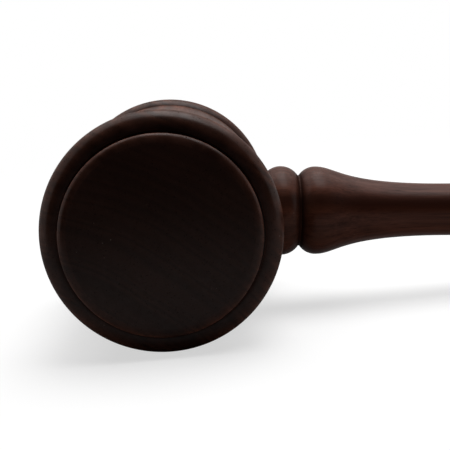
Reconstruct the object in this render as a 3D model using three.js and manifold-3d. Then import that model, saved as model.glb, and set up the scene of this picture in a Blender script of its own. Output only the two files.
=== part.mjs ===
// A gavel of turned and stained wood: a head with a half-round band at each end, and a handle
// whose tenon is glued into a mortise in the side of the head's barrel.
// Millimetres, +Z up. The gavel lies as it does on a table, on its two bands and on the ball at
// the end of its handle. The head's axis runs along Y and the handle points towards +X, sloping
// down to the table. The origin lies on the table, under the middle of the whole gavel.

import * as THREE from 'three';
import { mergeVertices, toCreasedNormals } from 'three/addons/utils/BufferGeometryUtils.js';
import Module from 'manifold-3d';

// Head, turned from one billet. A depth is counted inwards, towards the turning axis.
const BAND_RADIUS = 30; // over a half-round band, the widest place
const BAND_ROUND = 3.9; // of the half-round section
const BAND_SPACING = 76.4; // between the middle planes of the two bands
const BAND_DEPTH = 1.7; // from a band's crest to the barrel
const BAND_LIP_ANGLE = THREE.MathUtils.degToRad(12); // that the section turns in past its front
const SHOULDER_WIDTH = 0.55; // of the flat ring between a band and the striking disc
const SHOULDER_SETBACK = 0.4; // from a band's front to that ring
const FACE_RISE = 4.3; // of the striking disc above the ring
const FACE_DRAFT = 0.3; // that the disc narrows by towards its root
const FACE_EDGE_ROUND = 1.4; // of the disc's edge

// Handle, turned in one with its tenon
const COLLAR_RADIUS = 12.45; // over the bead next to the head
const COLLAR_ROUND = 5.7; // of the bead's section
const COLLAR_NECK_DEPTH = 2.55; // from the bead's crest to the neck that sits on the head
const COLLAR_NECK_LENGTH = 1.75;
const COLLAR_GROOVE_WIDTH = 0.4; // of the groove's floor between the bead and the bulge
const BULGE_DEPTH = 0.15; // from the bead's crest to the bulge's
const BULGE_ROUND = 5.3; // of the bulge's rise out of the groove
const BULGE_RISE = 2.4; // from the groove's floor to the bulge's crest
const TAPER_LENGTH = 36.5; // from the bulge's crest to the waist
const WAIST_RADIUS = 7.3;
const GRIP_LENGTH = 125; // from the waist to the grip's crest
const GRIP_RADIUS = 11.6;
const GRIP_ROUND = 14; // of the grip's fall to the last groove
const KNOB_GROOVE_DEPTH = 2.4; // from the grip's crest to that groove's floor
const KNOB_GROOVE_WIDTH = 0.4;
const KNOB_DEPTH = 0.2; // from the grip's crest to the ball's

// Sweeps: how far each end's direction carries, as shares of the sweep's length
const taperLeadShares = { crest: 0.175, waist: 0.81 };
const gripLeadShares = { waist: 0.42, crest: 0.36 };

// Joint: a blind mortise with a drill's cone at its bottom, inside a flat spot-face
const TENON_RADIUS = 6.35;
const TENON_CHAMFER = 1;
const GLUE_GAP = 0.3; // between the tenon and the mortise, and under the collar's neck
const TENON_END_GAP = 1.5; // from the tenon's end to the drill's cone
const GLUE_GROOVE_COUNT = 3; // rings round the tenon that hold glue
const GLUE_GROOVE_WIDTH = 1.4;
const GLUE_GROOVE_DEPTH = 0.4;
const DRILL_POINT_ANGLE = THREE.MathUtils.degToRad(118);
const BACK_WALL = 15; // of wood behind the drill's point
const MOUTH_CHAMFER = 0.6;
const SPOT_FACE_CLEARANCE = 0.25; // round the collar
const SPOT_FACE_MARGIN = 0.17; // that it goes deeper than needed for a full circle
const CUT_OVERRUN = 2; // of a cut past the surface it enters by

// Facets round the turning axis, and chords along a round of an outline
const HEAD_FACETS = 64;
const HANDLE_FACETS = 40;
const BAND_CHORDS = 11;
const EDGE_CHORDS = 4;
const BEAD_CHORDS = 10;
const ROUND_CHORDS = 5;
const SWEEP_CHORDS = 11;
const BALL_CHORDS = 11;
const CREASE_ANGLE = THREE.MathUtils.degToRad(28);

// Finish: dark stain under a satin coat, with the handle a little redder and lighter
const HEAD_FINISH = { color: '#2b1c18', roughness: 0.42, metalness: 0 };
const HANDLE_FINISH = { color: '#442b24', roughness: 0.4, metalness: 0 };

const QUARTER_TURN = Math.PI / 2;

// Radii and places that follow from those above. A place on the head is a distance along its
// axis from its middle. A place on the handle is a distance from the head's axis.
const barrelRadius = BAND_RADIUS - BAND_DEPTH;
const bandPlace = BAND_SPACING / 2;
const bandCentreRadius = BAND_RADIUS - BAND_ROUND;
const lipRadius = bandCentreRadius - BAND_ROUND * Math.sin(BAND_LIP_ANGLE);
const shoulderPlace = bandPlace + BAND_ROUND - SHOULDER_SETBACK;
const discRadius = lipRadius - SHOULDER_WIDTH;
const facePlace = shoulderPlace + FACE_RISE;

const spotFaceRadius = COLLAR_RADIUS + SPOT_FACE_CLEARANCE;
const seatPlace = Math.sqrt(barrelRadius ** 2 - spotFaceRadius ** 2) - SPOT_FACE_MARGIN;
const mortiseRadius = TENON_RADIUS + GLUE_GAP;
const drillPointPlace = BACK_WALL - barrelRadius;
const mortiseFloorPlace = drillPointPlace + mortiseRadius / Math.tan(DRILL_POINT_ANGLE / 2);

const neckPlace = seatPlace + GLUE_GAP;
const tenonEndPlace = mortiseFloorPlace + TENON_END_GAP;
const neckRadius = COLLAR_RADIUS - COLLAR_NECK_DEPTH;
const bulgeRadius = COLLAR_RADIUS - BULGE_DEPTH;
const grooveRadius = bulgeRadius - BULGE_RISE;
const knobRadius = GRIP_RADIUS - KNOB_DEPTH;
const knobGrooveRadius = GRIP_RADIUS - KNOB_GROOVE_DEPTH;

// A point of an outline: its distance from the turning axis, and its place along that axis.
function point(radius, place) {
  return new THREE.Vector2(radius, place);
}

// Points of a round in an outline. Angle zero points straight out from the axis.
function round(centre, radius, from, to, chords) {
  const curve = new THREE.EllipseCurve(centre.x, centre.y, radius, radius, from, to, to < from);
  return curve.getPoints(chords);
}

// Points of an S-shaped sweep that leaves and arrives along the axis, without its first point.
function sweep(start, end, startShare, endShare) {
  const length = end.y - start.y;
  const leave = point(start.x, start.y + startShare * length);
  const arrive = point(end.x, end.y - endShare * length);
  return new THREE.CubicBezierCurve(start, leave, arrive, end).getPoints(SWEEP_CHORDS).slice(1);
}

// The angle at which a round of the given crest and radius has come down by a depth.
function angleAtDepth(radius, depth) {
  return Math.acos((radius - depth) / radius);
}

// One half of the head's outline, from the barrel out to the middle of a striking face.
function headHalfOutline() {
  const bandCentre = point(bandCentreRadius, bandPlace);
  const rootAngle = -angleAtDepth(BAND_ROUND, BAND_DEPTH);
  const lipAngle = QUARTER_TURN + BAND_LIP_ANGLE;
  const edgeCentre = point(discRadius - FACE_EDGE_ROUND, facePlace - FACE_EDGE_ROUND);
  return [
    ...round(bandCentre, BAND_ROUND, rootAngle, lipAngle, BAND_CHORDS),
    point(lipRadius, shoulderPlace),
    point(discRadius - FACE_DRAFT, shoulderPlace),
    ...round(edgeCentre, FACE_EDGE_ROUND, 0, QUARTER_TURN, EDGE_CHORDS),
    point(0, facePlace),
  ];
}

// The whole outline of the head, from one striking face to the other.
function headOutline() {
  const half = headHalfOutline();
  const mirrored = half.map(({ x, y }) => point(x, -y)).reverse();
  return [...mirrored, ...half];
}

// The space bored in the head for the handle: drill's cone, mortise, mouth and spot-face.
function boringOutline() {
  const outside = barrelRadius + CUT_OVERRUN;
  return [
    point(0, drillPointPlace),
    point(mortiseRadius, mortiseFloorPlace),
    point(mortiseRadius, seatPlace - MOUTH_CHAMFER),
    point(mortiseRadius + MOUTH_CHAMFER, seatPlace),
    point(spotFaceRadius, seatPlace),
    point(spotFaceRadius, outside),
    point(0, outside),
  ];
}

// The tenon, with its chamfered end and its glue rings.
function tenonOutline() {
  const pitch = (neckPlace - tenonEndPlace) / (GLUE_GROOVE_COUNT + 1);
  const outline = [
    point(0, tenonEndPlace),
    point(TENON_RADIUS - TENON_CHAMFER, tenonEndPlace),
    point(TENON_RADIUS, tenonEndPlace + TENON_CHAMFER),
  ];
  for (let ring = 1; ring <= GLUE_GROOVE_COUNT; ring += 1) {
    const start = tenonEndPlace + ring * pitch - GLUE_GROOVE_WIDTH / 2;
    const end = start + GLUE_GROOVE_WIDTH;
    const floorRadius = TENON_RADIUS - GLUE_GROOVE_DEPTH;
    outline.push(
      point(TENON_RADIUS, start),
      point(floorRadius, start + GLUE_GROOVE_DEPTH),
      point(floorRadius, end - GLUE_GROOVE_DEPTH),
      point(TENON_RADIUS, end),
    );
  }
  outline.push(point(TENON_RADIUS, neckPlace));
  return outline;
}

// The whole outline of the handle, from the tenon's end to the ball's.
function handleOutline() {
  const beadStart = neckPlace + COLLAR_NECK_LENGTH;
  const neckAngle = angleAtDepth(COLLAR_ROUND, COLLAR_NECK_DEPTH);
  const beadAngle = angleAtDepth(COLLAR_ROUND, COLLAR_RADIUS - grooveRadius);
  const beadCentre = point(
    COLLAR_RADIUS - COLLAR_ROUND,
    beadStart + COLLAR_ROUND * Math.sin(neckAngle),
  );

  const bulgeAngle = angleAtDepth(BULGE_ROUND, BULGE_RISE);
  const bulgeStart = beadCentre.y + COLLAR_ROUND * Math.sin(beadAngle) + COLLAR_GROOVE_WIDTH;
  const bulgePlace = bulgeStart + BULGE_ROUND * Math.sin(bulgeAngle);
  const bulgeCentre = point(bulgeRadius - BULGE_ROUND, bulgePlace);

  const bulgeCrest = point(bulgeRadius, bulgePlace);
  const waist = point(WAIST_RADIUS, bulgePlace + TAPER_LENGTH);
  const gripCrest = point(GRIP_RADIUS, waist.y + GRIP_LENGTH);

  const gripAngle = angleAtDepth(GRIP_ROUND, KNOB_GROOVE_DEPTH);
  const gripCentre = point(GRIP_RADIUS - GRIP_ROUND, gripCrest.y);
  const ballStart = gripCrest.y + GRIP_ROUND * Math.sin(gripAngle) + KNOB_GROOVE_WIDTH;
  const ballAngle = Math.acos(knobGrooveRadius / knobRadius);
  const ballCentre = point(0, ballStart + knobRadius * Math.sin(ballAngle));

  return [
    ...tenonOutline(),
    point(neckRadius, neckPlace),
    ...round(beadCentre, COLLAR_ROUND, -neckAngle, beadAngle, BEAD_CHORDS),
    ...round(bulgeCentre, BULGE_ROUND, -bulgeAngle, 0, ROUND_CHORDS),
    ...sweep(bulgeCrest, waist, taperLeadShares.crest, taperLeadShares.waist),
    ...sweep(waist, gripCrest, gripLeadShares.waist, gripLeadShares.crest),
    ...round(gripCentre, GRIP_ROUND, 0, gripAngle, ROUND_CHORDS).slice(1),
    ...round(ballCentre, knobRadius, -ballAngle, QUARTER_TURN, BALL_CHORDS).slice(0, -1),
    point(0, ballCentre.y + knobRadius),
  ];
}

// A closed turned shape whose axis is the Y axis, as the head's is.
function turnedAlongY(outline, facets) {
  return new THREE.LatheGeometry(outline, facets);
}

// A closed turned shape whose axis is the X axis, as the handle's is.
function turnedAlongX(outline, facets) {
  return turnedAlongY(outline, facets).rotateZ(-QUARTER_TURN);
}

// Booleans
const wasm = await Module();
wasm.setup();

// The solid that a closed geometry bounds. Triangles that shrink to a line at a pole are left out.
function solidFrom(geometry) {
  const bare = geometry.clone();
  bare.deleteAttribute('normal');
  bare.deleteAttribute('uv');
  const merged = mergeVertices(bare);
  const corners = merged.index.array;
  const kept = [];
  for (let first = 0; first < corners.length; first += 3) {
    const [a, b, c] = corners.slice(first, first + 3);
    if (a !== b && b !== c && c !== a) {
      kept.push(a, b, c);
    }
  }
  return new wasm.Manifold(new wasm.Mesh({
    numProp: 3,
    vertProperties: Float32Array.from(merged.attributes.position.array),
    triVerts: Uint32Array.from(kept),
  }));
}

// The geometry of a solid.
function geometryFrom(solid) {
  const { vertProperties, triVerts } = solid.getMesh();
  const geometry = new THREE.BufferGeometry();
  geometry.setAttribute('position', new THREE.BufferAttribute(vertProperties, 3));
  geometry.setIndex(new THREE.BufferAttribute(triVerts, 1));
  return geometry;
}

// The head: the turned billet less the space that is bored for the handle.
function headGeometry() {
  const billet = solidFrom(turnedAlongY(headOutline(), HEAD_FACETS));
  const boring = solidFrom(turnedAlongX(boringOutline(), HANDLE_FACETS));
  return geometryFrom(billet.subtract(boring));
}

// A named piece, with a crease wherever two of its facets meet at more than the crease angle.
function piece(name, geometry, finish) {
  const mesh = new THREE.Mesh(
    toCreasedNormals(geometry, CREASE_ANGLE),
    new THREE.MeshStandardMaterial(finish),
  );
  mesh.name = name;
  return mesh;
}

// How far the handle slopes down when the gavel lies on its bands: it turns about the head's
// axis until the first point of its outline reaches the table.
function slopeOnTable(outline) {
  const slopes = outline
    .filter(({ x, y }) => Math.hypot(x, y) > BAND_RADIUS)
    .map(({ x, y }) => Math.asin(BAND_RADIUS / Math.hypot(x, y)) - Math.atan2(x, y));
  return Math.min(...slopes);
}

const handleProfile = handleOutline();
const gavel = new THREE.Group();
gavel.add(
  piece('head', headGeometry(), HEAD_FINISH),
  piece('handle', turnedAlongX(handleProfile, HANDLE_FACETS), HANDLE_FINISH),
);
gavel.rotation.y = slopeOnTable(handleProfile);

// Stand the gavel on the table, with the origin under its middle.
const box = new THREE.Box3().setFromObject(gavel, true);
const middle = box.getCenter(new THREE.Vector3());
gavel.position.set(-middle.x, -middle.y, -box.min.z);

export default gavel;
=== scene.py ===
"""Visual model of a turned wooden gavel that lies on a pale table.

Sizes are written in millimetres, as on a turner's drawing, and become metres when a mesh is made.
Both pieces are drawn in the gavel's own frame: its origin is the middle of the head, X runs along
the handle, Y along the head away from the camera, and Z up. That frame is then turned about Y by
the slope at which the gavel rests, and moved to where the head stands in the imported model.
"""

import logging
from dataclasses import dataclass
from enum import Enum
from math import acos, pi, radians, sin, tan
from typing import Sequence

import bpy
import numpy as np
from mathutils import Matrix, Vector

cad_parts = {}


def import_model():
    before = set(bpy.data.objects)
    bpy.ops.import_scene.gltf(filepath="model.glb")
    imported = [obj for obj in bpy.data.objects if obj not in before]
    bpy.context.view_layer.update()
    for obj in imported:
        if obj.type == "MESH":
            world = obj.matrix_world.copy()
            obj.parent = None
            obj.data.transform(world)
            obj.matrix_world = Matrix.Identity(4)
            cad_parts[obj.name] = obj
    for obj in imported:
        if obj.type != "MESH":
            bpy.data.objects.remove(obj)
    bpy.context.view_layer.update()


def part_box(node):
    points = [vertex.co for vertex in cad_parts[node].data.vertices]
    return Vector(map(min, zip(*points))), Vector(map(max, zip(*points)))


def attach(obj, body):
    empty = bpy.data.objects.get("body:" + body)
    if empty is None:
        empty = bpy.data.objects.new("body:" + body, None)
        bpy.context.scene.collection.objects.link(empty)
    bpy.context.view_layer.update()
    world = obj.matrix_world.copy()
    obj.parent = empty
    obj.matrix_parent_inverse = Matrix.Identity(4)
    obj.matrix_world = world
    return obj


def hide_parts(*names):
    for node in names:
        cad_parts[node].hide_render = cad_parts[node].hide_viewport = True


LOG = logging.getLogger("gavel")
MILLIMETRE = 0.001
SLOPE = radians(4.9055)  # that the handle points down by, when bands and ball touch the table
CREASE = radians(32)  # turn above which an edge between two faces stays sharp
SAME_POINT = 1e-6  # millimetres within which two points of an outline are one
BODY = "root"

# What a mesh carries for its finish at each of its corners
WEAR = "wear"
HOLLOW = "hollow"
END_GRAIN = "end_grain"

Array = np.ndarray
Socket = bpy.types.NodeSocket
Sockets = bpy.types.NodeOutputs
# A shader input takes a link or a constant, which is one number or several
Value = Socket | float
Triple = Socket | Sequence[float]


# Outlines


def straight(start: Sequence[float], end: Sequence[float], count: int, ease: float = 1.0) -> Array:
    """Points of a straight run of an outline: start plus t^ease of the way to the end.

    Args:
        start: (radius, place) of its first point.
        end: (radius, place) of its last point.
        count: number of points.
        ease: 1 for even spacing, above 1 for points that crowd towards the start.

    Returns:
        Array (count, 2) of radius and place.
    """
    share = np.linspace(0.0, 1.0, count)[:, None] ** ease
    first, last = np.asarray(start, float), np.asarray(end, float)
    return first + (last - first) * share


def arc(
    centre: Sequence[float], radius: float | Sequence[float], start: float, end: float, count: int
) -> Array:
    """Points of a round: centre plus the radius times (cosine, sine) of an evenly swept angle.

    Args:
        centre: (radius, place) of the round's centre.
        radius: radius of the round, or of an oval across and along the axis.
        start: angle of the first point in radians, zero being straight out from the axis.
        end: angle of the last point.
        count: number of points.

    Returns:
        Array (count, 2) of radius and place.
    """
    angle = np.linspace(start, end, count)
    turn = np.stack([np.cos(angle), np.sin(angle)], axis=1)
    return np.asarray(centre, float) + np.asarray(radius, float) * turn


def sweep(
    start: Sequence[float], end: Sequence[float], leave: float, arrive: float, count: int
) -> Array:
    """Points of an S-shaped run: a cubic Bezier curve whose two ends run along the axis.

    Args:
        start: (radius, place) of its first point.
        end: (radius, place) of its last point.
        leave: how far the first direction carries, as a share of the run's length.
        arrive: the same for the last direction.
        count: number of points.

    Returns:
        Array (count, 2) of radius and place.
    """
    first, last = np.asarray(start, float), np.asarray(end, float)
    length = last[1] - first[1]
    one = first + np.array([0.0, leave * length])
    two = last - np.array([0.0, arrive * length])
    t = np.linspace(0.0, 1.0, count)[:, None]
    s = 1.0 - t
    return s**3 * first + 3 * s**2 * t * one + 3 * s * t**2 * two + t**3 * last


def joined(parts: Sequence[Array]) -> Array:
    """Joins the parts of an outline and drops the points that repeat the one before.

    Args:
        parts: arrays (n, 2) of radius and place, in order.

    Returns:
        Array (m, 2) of radius and place.
    """
    points = np.concatenate(parts)
    step = np.linalg.norm(np.diff(points, axis=0), axis=1)
    return points[np.concatenate([[True], step > SAME_POINT])]


def angle_at_depth(radius: float, depth: float) -> float:
    """Angle at which a round of this radius has come down from its crest by the depth."""
    return acos((radius - depth) / radius)


def reach_at_depth(radius: float, depth: float) -> float:
    """Distance along the axis from a round's crest to where it has come down by the depth."""
    return radius * sin(angle_at_depth(radius, depth))


def crest_arc(
    crest: Sequence[float], radius: float, before: float, after: float, count: int
) -> Array:
    """Points of a round over a crest, from one depth before it to another depth after it."""
    start, end = angle_at_depth(radius, before), angle_at_depth(radius, after)
    return arc((crest[0] - radius, crest[1]), radius, -start, end, count)


@dataclass
class Outline:
    """A turned shape's outline, with what its bends do to the finish."""

    points: Array  # array (n, 2) of radius and place in millimetres, from one pole to the other
    # Radius of a convex bend in millimetres, under which it is fully rubbed
    worn_below: float = 1.6
    # Distance in millimetres over which stain and painted shade darken next to an inner corner
    stain_and_shade_reach: float = 1.1
    corner: float = radians(20)  # least inward turn in radians that counts as an inner corner

    def _turns(self) -> tuple[Array, Array]:
        """Follows the outline from point to point.

        Returns:
            The turn at each point in radians, positive where convex and zero at both ends, and
            the distance along the outline in millimetres.
        """
        step = np.diff(self.points, axis=0)
        heading = np.unwrap(np.arctan2(step[:, 0], step[:, 1]))
        turn = np.zeros(len(self.points))
        turn[1:-1] = heading[:-1] - heading[1:]
        return turn, np.concatenate([[0.0], np.cumsum(np.linalg.norm(step, axis=1))])

    def wear(self) -> Array:
        """Share of rubbing at each point: worn_below times the convex curvature, up to one."""
        turn, along = self._turns()
        return np.clip(np.clip(turn, 0.0, None) / np.gradient(along) * self.worn_below, 0.0, 1.0)

    def hollow(self) -> Array:
        """Finds stain and painted shade: a bell over the distance to the nearest inner corner.

        Returns:
            Share of stain and painted shade at each point, one in a corner.
        """
        turn, along = self._turns()
        corners = along[turn < -self.corner]
        gap = np.abs(along[:, None] - corners[None, :]).min(axis=1)
        return np.exp(-((gap / self.stain_and_shade_reach) ** 2))


# Meshes


def in_scene(name: str, data: bpy.types.ID) -> bpy.types.Object:
    """Makes an object and links it to the scene.

    Args:
        name: the object's name.
        data: its mesh, lamp or camera.

    Returns:
        The object, at the origin, unturned and unscaled.
    """
    made = bpy.data.objects.new(name, data)
    bpy.context.scene.collection.objects.link(made)
    return made


def flat_sheet(
    name: str, corner: Sequence[float], side: Sequence[float], rise: Sequence[float], cells: int
) -> bpy.types.Object:
    """Makes a flat sheet: a corner, plus a share of one side and a share of the other.

    Args:
        name: the sheet's name.
        corner: its first corner in metres.
        side: vector along one of its sides.
        rise: vector along the other.
        cells: number of cells along each side.

    Returns:
        The object, at the origin, unturned and unscaled.
    """
    share = np.linspace(0.0, 1.0, cells + 1)[:, None, None]
    points = np.asarray(corner) + share * side + share.swapaxes(0, 1) * rise
    index = np.arange(points[..., 0].size).reshape(points.shape[:2])
    faces = np.stack([index[:-1, :-1], index[1:, :-1], index[1:, 1:], index[:-1, 1:]], axis=-1)
    mesh = bpy.data.meshes.new(name)
    mesh.from_pydata(points.reshape(-1, 3), [], faces.reshape(-1, 4).tolist())
    return in_scene(name, mesh)


@dataclass
class Surface:
    """A mesh in the making: corners in the gavel's frame, faces, and what varies over it."""

    points: Array  # array (n, 3) in millimetres
    quads: Array  # array (m, 4) of indices, counter-clockwise seen from outside
    triangles: Array  # array (k, 3) of indices
    grain: Array  # unit vector along the grain
    fields: dict[str, Array]  # one array of n values for each named attribute

    def corner_normals(self) -> Array:
        """Works out normals: each corner sums its faces' cross products, and is then scaled.

        A four-sided face's is the cross product of its two diagonals.

        Returns:
            Array (n, 3) of unit vectors.
        """
        total = np.zeros_like(self.points)
        for faces in (self.quads, self.triangles):
            a, b, c, d = (self.points[faces[:, k % faces.shape[1]]] for k in range(4))
            normal = np.cross(c - a, d - b) if faces.shape[1] == 4 else np.cross(b - a, c - a)
            for k in range(faces.shape[1]):
                np.add.at(total, faces[:, k], normal)
        return total / np.linalg.norm(total, axis=1, keepdims=True)

    def as_object(self, name: str, placing: Matrix) -> bpy.types.Object:
        """Makes the Blender object, with its place in its mesh.

        It carries the fields and the end grain, which is how nearly a corner's normal runs along
        the grain, one way or the other.

        Args:
            name: the piece's name.
            placing: the gavel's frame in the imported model's, in metres.

        Returns:
            The object, at the origin, unturned and unscaled.
        """
        placed = self.points * MILLIMETRE @ np.array(placing.to_3x3()).T
        placed += np.array(placing.translation)
        mesh = bpy.data.meshes.new(name)
        mesh.from_pydata(placed, [], self.quads.tolist() + self.triangles.tolist())
        end_grain = np.abs(self.corner_normals() @ self.grain)
        for key, values in (self.fields | {END_GRAIN: end_grain}).items():
            attribute = mesh.attributes.new(key, "FLOAT", "POINT")
            attribute.data.foreach_set("value", np.ascontiguousarray(values, np.float32))
        mesh.shade_smooth()
        mesh.set_sharp_from_angle(angle=CREASE)
        mesh.validate()
        return in_scene(name, mesh)


def turned(outline: Outline, axis: Array, first: Array, second: Array, steps: int) -> Surface:
    """Turns an outline about an axis through the origin, closed at both poles.

    A point is place times the axis, plus radius times (cosine of the angle times the first side
    direction, plus its sine times the second). The two side directions and the axis are at right
    angles, with first x second = -axis.

    Args:
        outline: the outline, whose first and last points lie on the axis.
        axis: unit vector of the turning axis, along which the grain runs.
        first: unit vector at angle zero.
        second: unit vector at a quarter turn.
        steps: number of steps round the axis.

    Returns:
        The surface. Corner 0 and the last corner are its poles, and corner
        1 + steps * row + column lies between them.
    """
    radius, place = outline.points[1:-1].T
    angle = np.arange(steps) * (2 * pi / steps)
    side = np.cos(angle)[:, None] * first + np.sin(angle)[:, None] * second
    ring = place[:, None, None] * axis + radius[:, None, None] * side[None]
    ends = outline.points[[0, -1], 1][:, None] * axis
    points = np.concatenate([ends[:1], ring.reshape(-1, 3), ends[1:]])

    index = 1 + np.arange(len(radius) * steps).reshape(len(radius), steps)
    after = np.roll(index, -1, axis=1)
    quads = np.stack([index[:-1], index[1:], after[1:], after[:-1]], axis=-1).reshape(-1, 4)
    start, end = np.zeros(steps, int), np.full(steps, len(points) - 1)
    triangles = np.concatenate([
        np.stack([start, index[0], after[0]], axis=1),
        np.stack([index[-1], end, after[-1]], axis=1),
    ])

    def spread(values: Array) -> Array:
        """One value for each corner from one for each point of the outline."""
        return np.concatenate([values[:1], np.repeat(values[1:-1], steps), values[-1:]])

    fields = {WEAR: spread(outline.wear()), HOLLOW: spread(outline.hollow())}
    return Surface(points, quads, triangles, axis, fields)


# The joint


@dataclass
class Joint:
    """The seat of the handle in the head: spot-face, mortise and tenon.

    All sizes are in millimetres.
    """

    seat: float = 25.12  # place of the spot-face's floor, from the head's axis
    spot_radius: float = 12.7
    lip: float = 0.22  # radius of the eased edge round it
    lip_share: float = 0.8  # most of the spot-face's depth that the eased edge may take
    lip_wear: float = 0.8  # share of rubbing on that edge
    mortise_radius: float = 6.65
    mouth: float = 0.6  # chamfer at the mortise's mouth
    back_wall: float = 15.0  # wood left behind the drill's point
    drill_angle: float = radians(118)
    tenon_radius: float = 6.35
    tenon_chamfer: float = 1.0  # chamfer at its end
    end_gap: float = 1.5  # gap from the tenon's end to the drill's cone
    seat_gap: float = 0.03  # gap left between the collar's neck and the seat
    barrel_rings: int = 12  # mesh rings on the barrel round the seat
    barrel_ease: float = 0.8  # below 1 for rings that stand wider apart next to the barrel
    lip_rings: int = 5  # mesh rings round the eased edge
    wall_rings: int = 5  # mesh rings down the spot-face's wall
    clean_rings: int = 2  # how many of those are free of the hollows' stain and painted shade
    # Mesh rings on the spot-face's floor, from its wall
    floor_insets: tuple[float, float] = (0.4, 1.2)
    mouth_inset: float = 0.2  # mesh ring next to the mortise's mouth, from it

    def drill_point(self, barrel_radius: float) -> float:
        """Place of the drill's point, behind which the back wall is left."""
        return self.back_wall - barrel_radius

    def mortise_floor(self, barrel_radius: float) -> float:
        """Place where the mortise's wall meets the drill's cone."""
        cone = self.mortise_radius / tan(self.drill_angle / 2)
        return self.drill_point(barrel_radius) + cone

    def tenon_end(self, barrel_radius: float) -> float:
        """Place of the tenon's end."""
        return self.mortise_floor(barrel_radius) + self.end_gap


# The head


@dataclass
class Head:
    """The head: a straight barrel, a half-round band at each end and a striking disc beyond it.

    All sizes are in millimetres. A depth is counted towards the turning axis.
    """

    joint: Joint  # the seat of the handle
    band_radius: float = 30.0  # over a band, the head's widest place
    band_round: float = 3.9  # of a band's half-round section
    band_spacing: float = 76.4  # between the middle planes of the two bands
    band_depth: float = 1.7  # from a band's crest to the barrel
    lip_angle: float = radians(12)  # that the section turns in past its front
    shoulder_width: float = 0.55  # of the flat ring between a band and the disc
    shoulder_setback: float = 0.4  # from a band's front to that ring
    face_rise: float = 4.3  # of the disc above the ring
    face_draft: float = 0.3  # that the disc narrows by towards its root
    # Of the disc's edge, across the face and down its side
    edge_round: tuple[float, float] = (2.3, 1.4)
    steps: int = 320  # round the axis
    # Cells along a side of the square patch in which the handle's seat is cut
    patch_steps: int = 64
    patch_half: float = 18.0  # half the patch's length along the head

    @property
    def barrel_radius(self) -> float:
        """Radius of the barrel."""
        return self.band_radius - self.band_depth

    def half_outline(self) -> Array:
        """Draws the outline from the patch's edge out to the middle of a striking face.

        Returns:
            Array (n, 2) of radius and place.
        """
        centre = (self.band_radius - self.band_round, self.band_spacing / 2)
        root = angle_at_depth(self.band_round, self.band_depth)
        lip = centre[0] - self.band_round * sin(self.lip_angle)
        shoulder = centre[1] + self.band_round - self.shoulder_setback
        disc = lip - self.shoulder_width
        disc_root = (disc - self.face_draft, shoulder)
        face = shoulder + self.face_rise
        edge = (disc - self.edge_round[0], face - self.edge_round[1])
        band = arc(centre, self.band_round, -root, pi / 2 + self.lip_angle, count=56)
        return joined([
            straight(band[0], (self.barrel_radius, self.patch_half), count=14, ease=1.7)[::-1],
            band,
            straight(band[-1], (lip, shoulder), count=3),
            straight((lip, shoulder), disc_root, count=7),
            straight(disc_root, (disc, edge[1]), count=12, ease=1.4),
            arc(edge, self.edge_round, 0.0, pi / 2, count=22),
            straight((edge[0], face), (0.0, face), count=12, ease=1.5),
        ])

    def outline(self) -> Outline:
        """Draws the whole outline from one face to the other, with the patch's rows even.

        Returns:
            The outline.
        """
        half = self.half_outline()
        patch_end = (self.barrel_radius, self.patch_half)
        rows = straight((patch_end[0], -patch_end[1]), patch_end, count=self.patch_steps + 1)
        return Outline(joined([half[::-1] * [1, -1], rows, half]))

    def seat_rings(self, square: Array) -> tuple[Array, Array, Array]:
        """Works out the rings of the handle's seat, from the patch's edge to the mortise's floor.

        On the barrel, a ring lies between the square and the lip's circle in the side view, and
        its height follows the barrel: x = the root of radius squared less z squared. Round the
        lip the height falls along a quarter round; below it the rings are the boring's own
        circles at their own heights.

        Args:
            square: array (n, 3) of the patch's edge points, in order round it.

        Returns:
            Arrays (rings, n, 3) of points, and (rings,) each of wear and of hollow.
        """
        joint, barrel = self.joint, self.barrel_radius
        turn = np.arctan2(square[:, 2], square[:, 1])
        circle = np.stack([np.cos(turn), np.sin(turn)], axis=1)
        outer = joint.spot_radius + joint.lip

        even = np.linspace(0.0, 1.0, joint.barrel_rings + 1)[1:, None, None]
        share = even**joint.barrel_ease
        flat = square[None, :, 1:] * (1 - share) + outer * circle[None] * share
        on_barrel = np.concatenate([np.sqrt(barrel**2 - flat[..., 1:] ** 2), flat], axis=2)

        edge_height = on_barrel[-1, :, 0]
        bend = np.linspace(0.0, pi / 2, joint.lip_rings + 1)[1:, None]
        drop = np.minimum(joint.lip, (edge_height - joint.seat) * joint.lip_share)
        lip_radius = outer - joint.lip * np.sin(bend) * np.ones_like(edge_height)
        lip_height = edge_height - drop * (1 - np.cos(bend))
        wall = np.linspace(0.0, 1.0, joint.wall_rings + 1)[1:, None]
        wall_height = lip_height[-1] + (joint.seat - lip_height[-1]) * wall
        wall_radius = np.full_like(wall_height, joint.spot_radius)

        floor = joint.mortise_floor(barrel)
        mouth_radius = joint.mortise_radius + joint.mouth
        bored = np.array([
            (joint.spot_radius - joint.floor_insets[0], joint.seat),
            (joint.spot_radius - joint.floor_insets[1], joint.seat),
            (mouth_radius + joint.mouth_inset, joint.seat),
            (mouth_radius, joint.seat),
            (joint.mortise_radius, joint.seat - joint.mouth),
            (joint.mortise_radius, (joint.seat + floor) / 2),
            (joint.mortise_radius, floor),
        ])
        bored_radius = np.repeat(bored[:, :1], len(turn), axis=1)
        bored_height = np.repeat(bored[:, 1:], len(turn), axis=1)

        radius = np.concatenate([lip_radius, wall_radius, bored_radius])
        height = np.concatenate([lip_height, wall_height, bored_height])
        below = np.concatenate([height[..., None], radius[..., None] * circle[None]], axis=2)
        rings = np.concatenate([on_barrel, below])
        lip_end = joint.barrel_rings + joint.lip_rings
        wear = np.zeros(len(rings))
        wear[joint.barrel_rings - 1 : lip_end] = joint.lip_wear
        # The lower wall, the spot-face's floor and the mortise are fully hollow: stain and painted
        # shade darken the recess
        hollow = np.zeros(len(rings))
        hollow[lip_end + joint.clean_rings :] = 1.0
        return rings, wear, hollow

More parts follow.
